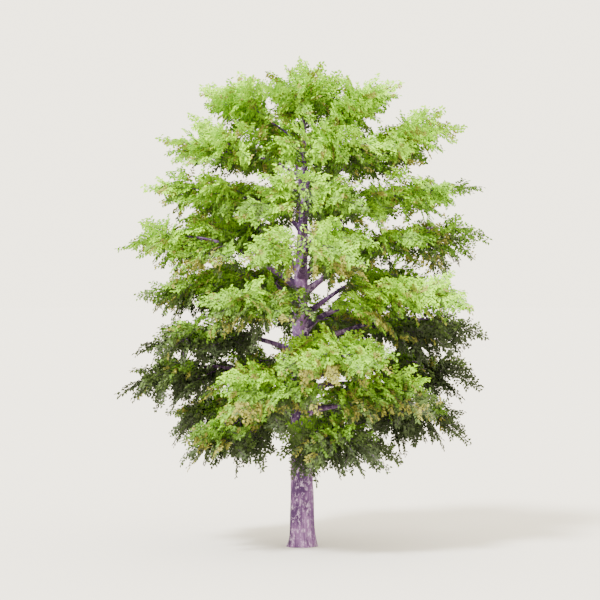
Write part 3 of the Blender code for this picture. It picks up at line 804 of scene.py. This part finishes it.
def drawnOut(bm, rings):
    made = bmesh.ops.create_circle(bm, cap_ends=False, segments=len(rings[0]), radius=1.0)
    loop = made["verts"]
    for vert, place in zip(loop, rings[0]):
        vert.co = place
    bmesh.ops.contextual_create(bm, geom=loop)
    edges = edgesAmong(set(loop), bm.edges)
    for ring in rings[1:]:
        order = {vert: k for k, vert in enumerate(loop)}
        copied = bmesh.ops.extrude_edge_only(bm, edges=edges)
        fresh = [g for g in copied["geom"] if isinstance(g, bmesh.types.BMVert)]
        # each new point takes the place in the ring that its old one has
        slots = {}
        for vert in fresh:
            for edge in vert.link_edges:
                old = edge.other_vert(vert)
                if old in order:
                    slots[vert] = order[old]
        loop = sorted(fresh, key=slots.get)
        for vert, place in zip(loop, ring):
            vert.co = place
        edges = edgesAmong(set(fresh), copied["geom"])
    bmesh.ops.contextual_create(bm, geom=loop)


def linked(name, data):
    made = bpy.data.objects.new(name, data)
    bpy.context.scene.collection.objects.link(made)
    return made


def meshFrom(bm, name):
    mesh = bpy.data.meshes.new(name)
    bm.to_mesh(mesh)
    bm.free()
    return mesh


def barkPiece(bm, name, material, nodes):
    bmesh.ops.recalc_face_normals(bm, faces=bm.faces)
    dressed(meshFrom(bm, name), name, material, nodes).data.shade_smooth()


def dressed(mesh, name, material, nodes):
    piece = linked(name, mesh)
    mesh.materials.append(material)
    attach(piece, "root")
    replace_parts(piece, *nodes)
    return piece


# The trunk with its flutes, collars under the boughs, old branch scars and root flare

relief = {
    "flutes": 5,
    "fluteDepth": 0.026,
    "fluteTwist": 0.35,  # radians a metre
    "fluteWander": (1.3, 0.5),  # how far round, in radians, and how fast
    "swellDepth": 0.030,
    "swellScale": 1.6,
    "swellStretch": 0.45,
    "gritDepth": 0.005,
    "gritScale": (6, 11),  # across and along the trunk
    "leftAtTip": 0.05,
    "collarDepth": 0.30,
    "collarReach": 1.2,
    "collarShape": (1.7, 3.2, 1.6),  # in limb radii: to each side, below, above
    "steepestCollar": 60,
    "scarRidge": 0.016,
    "scarSize": (0.05, 0.14),
    "scarHeights": (0.9, 9.5),
    "scarReach": 3,
    "scarWidth": 1.5,
    "scarEdge": 0.08,
    "scarHollow": (0.8, 0.3),  # depth as a share of the ridge, and width
    "scarSeed": 3,
}


def scarPlaces():
    rng = random.Random(growth["seed"] + relief["scarSeed"])
    heights = relief["scarHeights"]
    return [
        (rng.uniform(*heights), rng.uniform(0, 360), rng.uniform(*relief["scarSize"]))
        for _ in range(trunk["scars"])
    ]


def collarPlaces():
    places = []
    for tierName, (tier, *goals) in tiers.items():
        if tierName == "top":
            continue
        rise = radians(min(relief["steepestCollar"], tier.footRise))
        for index, goal in enumerate(goals):
            z = footHeight(tier, index)
            places.append((z + trunkRadius(z) * tan(rise), goal.azimuth, tier.footRadius))
    return places


def aroundTrunk(azimuth, middle, radius):
    turn = (azimuth - middle + 180) % 360 - 180
    return radians(turn) * radius


def grain(z, azimuth, radius):
    a = radians(azimuth)
    spot = Vector((sin(a) * radius, -cos(a) * radius, z))
    slim = radius / trunk["baseRadius"]
    wander, turns = relief["fluteWander"]
    turned = relief["flutes"] * a + relief["fluteTwist"] * z + wander * sin(turns * z)
    push = relief["fluteDepth"] * slim * sin(turned)
    swollen = Vector((spot.x, spot.y, spot.z * relief["swellStretch"])) * relief["swellScale"]
    push += relief["swellDepth"] * slim * noise.noise(swollen)
    across, along = relief["gritScale"]
    gritty = Vector((spot.x * across, spot.y * across, spot.z * along))
    return push + relief["gritDepth"] * noise.noise(gritty)


def barkRelief(z, azimuth, radius, collars, scars):
    push = grain(z, azimuth, radius)
    width, below, above = relief["collarShape"]
    for height, middle, size in collars:
        if abs(z - height) < relief["collarReach"]:
            side = aroundTrunk(azimuth, middle, radius) / (width * size)
            rise = (z - height) / ((below if z < height else above) * size)
            push += relief["collarDepth"] * size * exp(-(side**2) - rise**2)
    depth, hollow = relief["scarHollow"]
    for height, middle, size in scars:
        if abs(z - height) < relief["scarReach"] * size:
            side = aroundTrunk(azimuth, middle, radius) / (relief["scarWidth"] * size)
            ring = hypot(side, (z - height) / size)
            push += relief["scarRidge"] * exp(-((ring - 1) ** 2) / relief["scarEdge"])
            push -= relief["scarRidge"] * depth * exp(-(ring**2) / hollow)
    return push


def makeTrunk():
    collars, scars = collarPlaces(), scarPlaces()
    rings = []
    for share in evenly(0.0, 1.0, trunk["rings"]):
        z = trunk["top"] * share ** trunk["crowding"]
        fade = min(1, (trunk["top"] - z) + relief["leftAtTip"])
        ring = []
        for j in range(trunk["sides"]):
            azimuth = 360 * j / trunk["sides"]
            radius = trunkRadius(z) + rootFlare(z, azimuth)
            radius += barkRelief(z, azimuth, radius, collars, scars) * fade
            ring.append(trunkAxis(z) + headingOf(azimuth, 0) * radius)
        rings.append(ring)
    bm = bmesh.new()
    drawnOut(bm, rings)
    barkPiece(bm, "trunk_bark", trunkBark, ["trunk"])


makeTrunk()
print("trunk made")


# One limb from inside the trunk to its last twig: the bough and the stem of its mass

def limbRings(limb):
    upright = abs(limb.tip.x) + abs(limb.tip.y) <= 1
    seam = Vector((0, 1, 0)) if upright else Vector(limbs["seam"])
    step, made = limbs["bendStep"], []
    for t in evenly(0.0, 1.0, limbs["rings"]):
        onward = (limb.bend(min(1, t + step)) - limb.bend(max(0, t - step))).normalized()
        side = onward.cross(seam).normalized()
        over = side.cross(onward)
        place = limb.bend(t)
        ring = []
        for j in range(limbs["sides"]):
            a = 2 * pi * j / limbs["sides"]
            way = side * cos(a) + over * sin(a)
            rough = 1
            for depth, out, scale in limbs["lumps"]:
                rough += depth * noise.noise((place + way * out) * scale)
            ring.append(place + way * limb.radius(t) * rough)
        made.append(ring)
    return made


def makeLimbs():
    bm = bmesh.new()
    for mass in masses:
        one = bmesh.new()
        drawnOut(one, limbRings(mass.limb))
        mesh = meshFrom(one, "limb")
        bm.from_mesh(mesh)
        bpy.data.meshes.remove(mesh)
    boughs = [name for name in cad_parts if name.startswith("bough_")]
    barkPiece(bm, "boughs_bark", limbBark, boughs)


makeLimbs()
print("limbs made")


# Sprays: a rib with short twiglets at its sides, and leaves in two ranks along them

spray = {
    "ribPoints": 5,
    "wander": 0.05,
    "sag": 0.07,
    # twiglets
    "perMetre": 9.5,
    "fewest": 6,
    "ribUsed": (0.05, 0.97),
    "footStray": 0.02,
    "angle": (38, 60),
    "ahead": 0.12,  # how far past its foot a twiglet's tip meets the spray's edge
    "edgeEnd": 1.06,
    "leafyWidth": 0.60,  # of the spray's length
    "reach": (0.7, 1.15),
    "shortest": 0.14,
    "barest": 0.27,
    "tilt": 0.24,
    "droop": 0.12,
    "twigletSag": 0.10,
    "leafyTip": 0.35,  # from here the rib bears leaves of its own
    # leaves
    "leafGap": 0.060,
    "fewestLeaves": 2,
    "firstLeaf": 0.6,  # leaf gaps from the foot
    "leafLength": (0.175, 0.240),
    "tipShrink": 0.22,
    "leafTurn": (35, 65),
    "pointStray": 0.17,
    "pointDroop": 0.18,
    "faceOver": 0.75,
    "faceUp": 0.45,
    "faceStray": 0.34,
    "leafWidth": 0.64,
    "fold": 0.16,
    "tipDrop": 0.10,
    "leafEdge": ((0.30, 0.46), (0.68, 0.38)),  # along and to the side, near and far
    # smaller sprays
    "extraSeed": 7001,
    "extraPerMass": 47,
    "extraTries": 1200,
    "extraFeet": (0.25, 1.0),
    "extraStray": (1, 1, 0.6),
    "extraOnward": 0.4,
    "extraOutward": 0.3,
    "extraLength": (1.1, 1.8),
    "extraSpacing": 0.46,
    "extraDepths": (1.75, 1.5),
}
down = np.array((0.0, 0.0, -1.0))

Spray = namedtuple("Spray", "rib twiglets middles of leaves")
Leaves = namedtuple("Leaves", "base point face size")


def unit(rows):
    return rows / np.maximum(1e-9, np.linalg.norm(rows, axis=-1, keepdims=True))


def asRows(numbers):
    return numbers[:, None]


# The line of a spray's rib, at shares of its length
def ribOf(blade, wander):
    root, heading = np.array(blade.root), np.array(blade.heading)
    across, length = np.array(bladeAcross(blade)), blade.length

    def rib(u):
        u = np.asarray(u)[..., None]
        bow = across * wander * np.sin(pi * u) + down * spray["sag"] * length * u**2
        return root + heading * length * u + bow

    return rib


# The rib's line, and where its twiglets start, their directions and their lengths
def twigletsOf(blade, rng):
    heading, normal = np.array(blade.heading), np.array(blade.normal)
    across, length = np.array(bladeAcross(blade)), blade.length
    rib = ribOf(blade, rng.uniform(-spray["wander"], spray["wander"]) * length)
    count = max(spray["fewest"], round(spray["perMetre"] * length))
    stray = rng.uniform(-spray["footStray"], spray["footStray"], count)
    u = np.linspace(*spray["ribUsed"], count) + stray
    side = np.where(np.arange(count) % 2, 1.0, -1.0)
    angle = np.radians(rng.uniform(*spray["angle"], count))
    ahead = np.clip(u + spray["ahead"], 0, 1)
    end, widest = spray["edgeEnd"], growth["widest"]
    taper = np.minimum(ahead / widest, (end - ahead) / (end - widest))
    toEdge = taper * (spray["leafyWidth"] * length / 2) / np.sin(angle)
    reach = np.maximum(spray["shortest"], toEdge * rng.uniform(*spray["reach"], count))
    tilt = rng.normal(0, spray["tilt"], count)
    way = heading * asRows(np.cos(angle)) + across * asRows(side * np.sin(angle))
    way = unit(way + normal * asRows(tilt) + down * spray["droop"])
    # the rib's own leaves are borne as those of one more twiglet, along its outer part
    foot, tip = rib(spray["leafyTip"]), rib(1.0)
    start = np.vstack((rib(u), foot))
    way = np.vstack((way, unit(tip - foot)))
    return rib, start, way, np.append(reach, np.linalg.norm(tip - foot))


# Which twiglet each leaf is on, and the leaves
def leavesOn(blade, start, way, reach, rng):
    normal = np.array(blade.normal)
    perTwiglet = np.round(reach / spray["leafGap"]).astype(int)
    perTwiglet = np.maximum(spray["fewestLeaves"], perTwiglet)
    of = np.repeat(np.arange(len(reach)), perTwiglet)
    order = np.concatenate([np.arange(n) for n in perTwiglet])
    v = (order + spray["firstLeaf"]) / perTwiglet[of]
    far, total = reach[of] * v, len(of)
    base = start[of] + way[of] * asRows(far)
    base = base + down * asRows(spray["twigletSag"] * far**2)
    rank = np.where(order % 2, 1.0, -1.0)
    sideways = unit(np.cross(normal, way[of]))
    turn = np.radians(rng.uniform(*spray["leafTurn"], total))
    point = way[of] * asRows(np.cos(turn)) + sideways * asRows(rank * np.sin(turn))
    stray = rng.normal(0, spray["pointStray"], (total, 3))
    point = unit(point + stray + down * spray["pointDroop"])
    stray = rng.normal(0, spray["faceStray"], (total, 3))
    face = unit(normal * spray["faceOver"] - down * spray["faceUp"] + stray)
    face = unit(face - point * np.sum(face * point, axis=1, keepdims=True))
    size = rng.uniform(*spray["leafLength"], total) * (1 - spray["tipShrink"] * v)
    return of, Leaves(base, point, face, size)


def makeSpray(blade, seed):
    rng = np.random.default_rng(seed)
    rib, start, way, reach = twigletsOf(blade, rng)
    of, borne = leavesOn(blade, start, way, reach, rng)
    feet, ways, lengths = start[:-1], way[:-1], asRows(reach[:-1])
    twiglets = np.stack((feet, feet + ways * lengths), axis=1)
    twiglets[:, 1] += down * (spray["twigletSag"] * lengths**2)
    middles = start + way * asRows(reach / 2)
    return Spray(rib(np.linspace(0, 1, spray["ribPoints"])), twiglets, middles, of, borne)


# Smaller sprays off a mass's twigs, in what room it has left
def extraSprays(mass, shoots, sideBlades):
    rng = random.Random(mass.seed + spray["extraSeed"])
    droop = tiers[mass.tier][0].droop
    twigs = [shoot.twig for shoot in shoots[1:]]
    middles = [middleOf(blade) for blade in bladesOf(shoots, sideBlades)]
    found, tries = [], 0
    while twigs and len(found) < spray["extraPerMass"] and tries < spray["extraTries"]:
        tries += 1
        twig = rng.choice(twigs)
        root = mix(twig.start, twig.end, rng.uniform(*spray["extraFeet"]))
        loose = Vector([rng.uniform(-most, most) for most in spray["extraStray"]])
        onward = (twig.end - twig.start).normalized() * spray["extraOnward"]
        outward = Vector((root.x, root.y, 0)).normalized() * spray["extraOutward"]
        heading = lowered((onward + outward + loose).normalized(), droop * rng.uniform(0, 1))
        normal = faceUpAndOut(rng, root, heading)
        blade = Blade(root, heading, normal, rng.uniform(*spray["extraLength"]))
        middle = middleOf(blade)
        if min((middle - other).length for other in middles) < spray["extraSpacing"]:
            continue
        if not bladeInSpace(mass, blade, *spray["extraDepths"]):
            continue
        if clearOfWood(mass, blade):
            found.append(blade)
            middles.append(middle)
    return found


# How sunlit each mass is, beside its height: the wide plates in front are bright, and the
# lower sides of the crown are in shade
massLight = {
    "skirt_front_right": -0.10, "skirt_right": -0.22, "skirt_back": -0.10, "skirt_left": -0.12,
    "skirt_front_left": 0.05, "low_front_right": 0.12, "low_right": -0.20, "low_back": -0.15,
    "low_left": -0.24, "low_front": 0.16, "plate_front_right": 0.28, "plate_right": -0.16,
    "plate_left": -0.20, "middle_front_right": 0.28, "middle_back_right": 0.05,
    "middle_left": -0.05, "middle_front_left": 0.05, "shoulder_back_left": 0.05,
    "shoulder_left": 0.05, "shoulder_front": 0.12,
}
tierLight = {
    "skirt": -0.04, "low": -0.04, "plate": -0.02, "middle": 0.0, "shoulder": 0.04,
    "upper": 0.12, "high": 0.18, "crest": 0.22, "top": 0.22,
}
lowTiers = ("skirt", "low", "plate", "middle")
openTiers = ("high", "crest", "top")
light = {
    "low": (0.39, 0.50),  # at the middle of a mass, and what height in it adds
    "high": (0.43, 0.26),
    "sunFrom": (-0.42, -0.48, 0.77),
    "sun": 0.16,
    "inner": 0.30,  # lost at the trunk
    "innerReach": 3.2,
    "sprayStray": 0.08,
    "twigletStray": 0.055,
    "rimBelow": -0.3,  # the hanging rim yellows
    "rimBeyond": 4.2,
    "rim": (0.16, 0.6),  # the least light, and the share that yellows
    "elsewhere": (0.25, 0.09),
}
kindSteps = (("deep", 0.14), ("dark", 0.34), ("middle", 0.50), ("lime", 0.70), ("bright", 9.0))


def kindsOf(mass, middles, rng):
    away, count = middles - np.array(mass.space.centre), len(middles)
    height = away[:, 2] / mass.space.halfDepth
    fromTrunk = np.hypot(middles[:, 0], middles[:, 1])
    inner = np.clip(1 - fromTrunk / light["innerReach"], 0, 1) * (mass.tier not in openTiers)
    base, slope = light["low"] if mass.tier in lowTiers else light["high"]
    lit = base + slope * height + light["sun"] * (unit(away) @ light["sunFrom"])
    lit = lit - light["inner"] * inner
    lit += massLight.get(mass.name, 0.0) + tierLight[mass.tier]
    lit += rng.normal(0, light["sprayStray"]) + rng.normal(0, light["twigletStray"], count)
    kinds = np.full(count, "bright", dtype=object)
    for name, limit in reversed(kindSteps):
        kinds[lit < limit] = name
    yellows = (height < light["rimBelow"]) & (fromTrunk > light["rimBeyond"])
    for where, (least, share) in ((yellows, light["rim"]), (True, light["elsewhere"])):
        kinds[where & (lit > least) & (rng.random(count) < share)] = "olive"
    return kinds


# Where leaves stand open in front of the trunk and of two side limbs: left, right, bottom,
# top and the share gone
openings = (
    (-0.42, 0.52, 12.0, 16.2, 0.88),
    (-0.30, 0.55, 16.8, 18.3, 0.65),
    (-0.55, 0.45, 9.8, 11.3, 0.60),
    (-5.2, -3.6, 12.7, 13.7, 0.40),
    (3.1, 4.5, 12.9, 13.9, 0.35),
)


def standsOpen(base, rng):
    gone = np.zeros(len(base), dtype=bool)
    chance = rng.random(len(base))
    for left, right, bottom, top, share in openings:
        inside = (base[:, 0] > left) & (base[:, 0] < right)
        inside &= (base[:, 2] > bottom) & (base[:, 2] < top) & (base[:, 1] < 0)
        gone |= inside & (chance < share)
    return gone


stems = {
    "ribRadii": (0.013, 0.004),
    "ribSides": 4,
    "twigletRadii": (0.0065, 0.0025),
    "twigletSides": 3,
    "twigPoints": 5,
    "twigSides": 7,
    "seam": (0.13, 0.21, 0.97),  # few of them run this way
}
seedOfSprays = 1000 * growth["seed"]
seedOfKinds = 9001


# A twig's points: the middle of the bent stem, and then its own line
def twigPoints(limb, twig):
    ownLine = [mix(twig.start, twig.end, k) for k in evenly(0.0, 1.0, stems["twigPoints"])]
    return np.array([limb.bend(twig.share)] + ownLine)


def allSprays():
    leaves = {kind: [] for kind in leafColours}
    ribs, twiglets, twigs = [], [], []
    for mass in masses:
        shoots, sideBlades = grown[mass.name]
        chance = np.random.default_rng(mass.seed + seedOfKinds)
        blades = bladesOf(shoots, sideBlades) + extraSprays(mass, shoots, sideBlades)
        for blade in blades:
            made = makeSpray(blade, seedOfSprays + len(ribs) + 1)
            ribs.append(made.rib)
            long = np.linalg.norm(made.twiglets[:, 1] - made.twiglets[:, 0], axis=1)
            twiglets.append(made.twiglets[long > spray["barest"]])
            kinds = kindsOf(mass, made.middles, chance)[made.of]
            kept = ~standsOpen(made.leaves.base, chance)
            for kind in leafColours:
                chosen = (kinds == kind) & kept
                leaves[kind].append([rows[chosen] for rows in made.leaves])
        twigs += [(twigPoints(mass.limb, shoot.twig), shoot.twig.footRadius) for shoot in shoots]
    print(len(ribs), "sprays")
    return leaves, ribs, twiglets, twigs


# Joined meshes from arrays

def meshOf(name, points, faces):
    mesh = bpy.data.meshes.new(name)
    sizes = np.concatenate([np.full(len(rows), rows.shape[1]) for rows in faces])
    corners = np.concatenate([rows.ravel() for rows in faces]).astype(np.int32)
    mesh.vertices.add(len(points))
    mesh.vertices.foreach_set("co", points.astype(np.float32).ravel())
    mesh.loops.add(len(corners))
    mesh.loops.foreach_set("vertex_index", corners)
    mesh.polygons.add(len(sizes))
    starts = np.concatenate(((0,), np.cumsum(sizes)[:-1])).astype(np.int32)
    mesh.polygons.foreach_set("loop_start", starts)
    mesh.update(calc_edges=True)
    mesh.validate()
    return mesh


# Tapering twigs of a few sides, closed at both ends
def tubes(lines, radii, sides):
    count, steps = lines.shape[:2]
    onward = unit(np.gradient(lines, axis=1))
    side = unit(np.cross(onward, stems["seam"]))
    over = np.cross(side, onward)
    a = 2 * pi * np.arange(sides) / sides
    rings = side[:, :, None] * np.cos(a)[:, None] + over[:, :, None] * np.sin(a)[:, None]
    points = lines[:, :, None] + rings * radii[:, :, None, None]
    index = np.arange(count * steps * sides).reshape(count, steps, sides)
    onwards = np.roll(index, -1, axis=2)
    low, lowNext = index[:, :-1].ravel(), onwards[:, :-1].ravel()
    high, highNext = index[:, 1:].ravel(), onwards[:, 1:].ravel()
    walls = np.stack((low, high, highNext, lowNext), axis=1)
    ends = np.concatenate((index[:, 0], index[:, -1, ::-1]))
    return points.reshape(-1, 3), [walls, ends]


def leafMesh(name, base, point, face, size):
    length, width = asRows(size), asRows(size) * spray["leafWidth"]
    side = np.cross(face, point)
    lift = face * width * spray["fold"]

    def edge(along, out):
        return base + point * length * along + side * width * out + lift

    (near, wide), (far, narrow) = spray["leafEdge"]
    tip = base + point * length - face * length * spray["tipDrop"]
    right, left = (edge(near, -wide), edge(far, -narrow)), (edge(far, narrow), edge(near, wide))
    corners = np.stack((base, *right, tip, *left), axis=1)
    first = 6 * asRows(np.arange(len(base)))
    halves = np.concatenate((first + (0, 1, 2, 3), first + (0, 3, 4, 5)))
    return meshOf(name, corners.reshape(-1, 3), [halves])


foliageNodes = [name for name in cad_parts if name.startswith("foliage_")]


def makeLeaves(kind, rows):
    name = f"leaves_{kind}"
    dressed(leafMesh(name, *rows), name, leafFinishes[kind], foliageNodes)
    print(kind, len(rows[0]), "leaves")
    return len(rows[0])


def makeStems(name, lines, radii, sides, material):
    mesh = meshOf(name, *tubes(lines, radii, sides))
    return dressed(mesh, name, material, foliageNodes)


def alike(radii, lines):
    return np.tile(np.linspace(*radii, lines.shape[1]), (len(lines), 1))


leaves, ribs, twiglets, twigs = allSprays()
leafCount = 0
for kind, parts in leaves.items():
    leafCount += makeLeaves(kind, [np.concatenate(column) for column in zip(*parts)])
print(leafCount, "leaves in all")

ribs, twiglets = np.array(ribs), np.concatenate(twiglets)
makeStems("spray_ribs", ribs, alike(stems["ribRadii"], ribs), stems["ribSides"], twigBark)
thin = alike(stems["twigletRadii"], twiglets)
makeStems("twiglets", twiglets, thin, stems["twigletSides"], twigBark)
lines = np.array([line for line, _ in twigs])
radii = [np.linspace(foot, growth["twigTipRadius"], lines.shape[1]) for _, foot in twigs]
thick = makeStems("twigs", lines, np.array(radii), stems["twigSides"], limbBark)
thick.data.shade_smooth()
newPieces = [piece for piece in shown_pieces() if "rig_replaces" in piece]
triangles = sum(len(face.vertices) - 2 for piece in newPieces for face in piece.data.polygons)
print("twigs made,", len(twiglets), "twiglets,", triangles, "triangles in all")


# Floor, light and camera

stage = {
    "cream": (0.98, 0.90, 0.74, 1),
    "skyStrength": 4.0,
    "sunStrength": 9.5,
    "sunAngle": 12,
    "floor": (0.633, 0.613, 0.565, 1),  # as bright as the sky behind it
    "floorRoughness": 0.9,
    "floorRadius": 2500,
    "floorSides": 96,
    "floorDrop": 0.002,
    "cameraPlace": (-0.045, -80, 11.07),
    "sensor": 36,
    "lens": 106.67,
    "farthest": 9000,
}


def makeStage():
    bm = bmesh.new()
    sides, radius = stage["floorSides"], stage["floorRadius"]
    bmesh.ops.create_circle(bm, cap_ends=True, segments=sides, radius=radius)
    mesh = meshFrom(bm, "floor")
    look = {"Base Color": stage["floor"], "Roughness": stage["floorRoughness"]}
    mesh.materials.append(Finish("floor").surface(**look))
    floor = linked("floor", mesh)
    floor.location.z = -stage["floorDrop"]
    world = bpy.data.worlds.new("studio")
    bpy.context.scene.world = world
    world.use_nodes = True
    sky = world.node_tree.nodes["Background"]
    sky.inputs["Color"].default_value = stage["cream"]
    sky.inputs["Strength"].default_value = stage["skyStrength"]
    lamp = bpy.data.lights.new("sun", "SUN")
    lamp.energy = stage["sunStrength"]
    lamp.angle = radians(stage["sunAngle"])
    sun = linked("sun", lamp)
    sun.rotation_euler = Vector(light["sunFrom"]).to_track_quat("Z", "Y").to_euler()


def makeCamera():
    data = bpy.data.cameras.new("camera")
    data.sensor_width = stage["sensor"]
    data.lens = stage["lens"]
    data.clip_end = stage["farthest"]
    camera = linked("camera", data)
    camera.location = stage["cameraPlace"]
    camera.rotation_euler = (radians(90), 0, 0)
    bpy.context.scene.camera = camera


makeStage()
makeCamera()
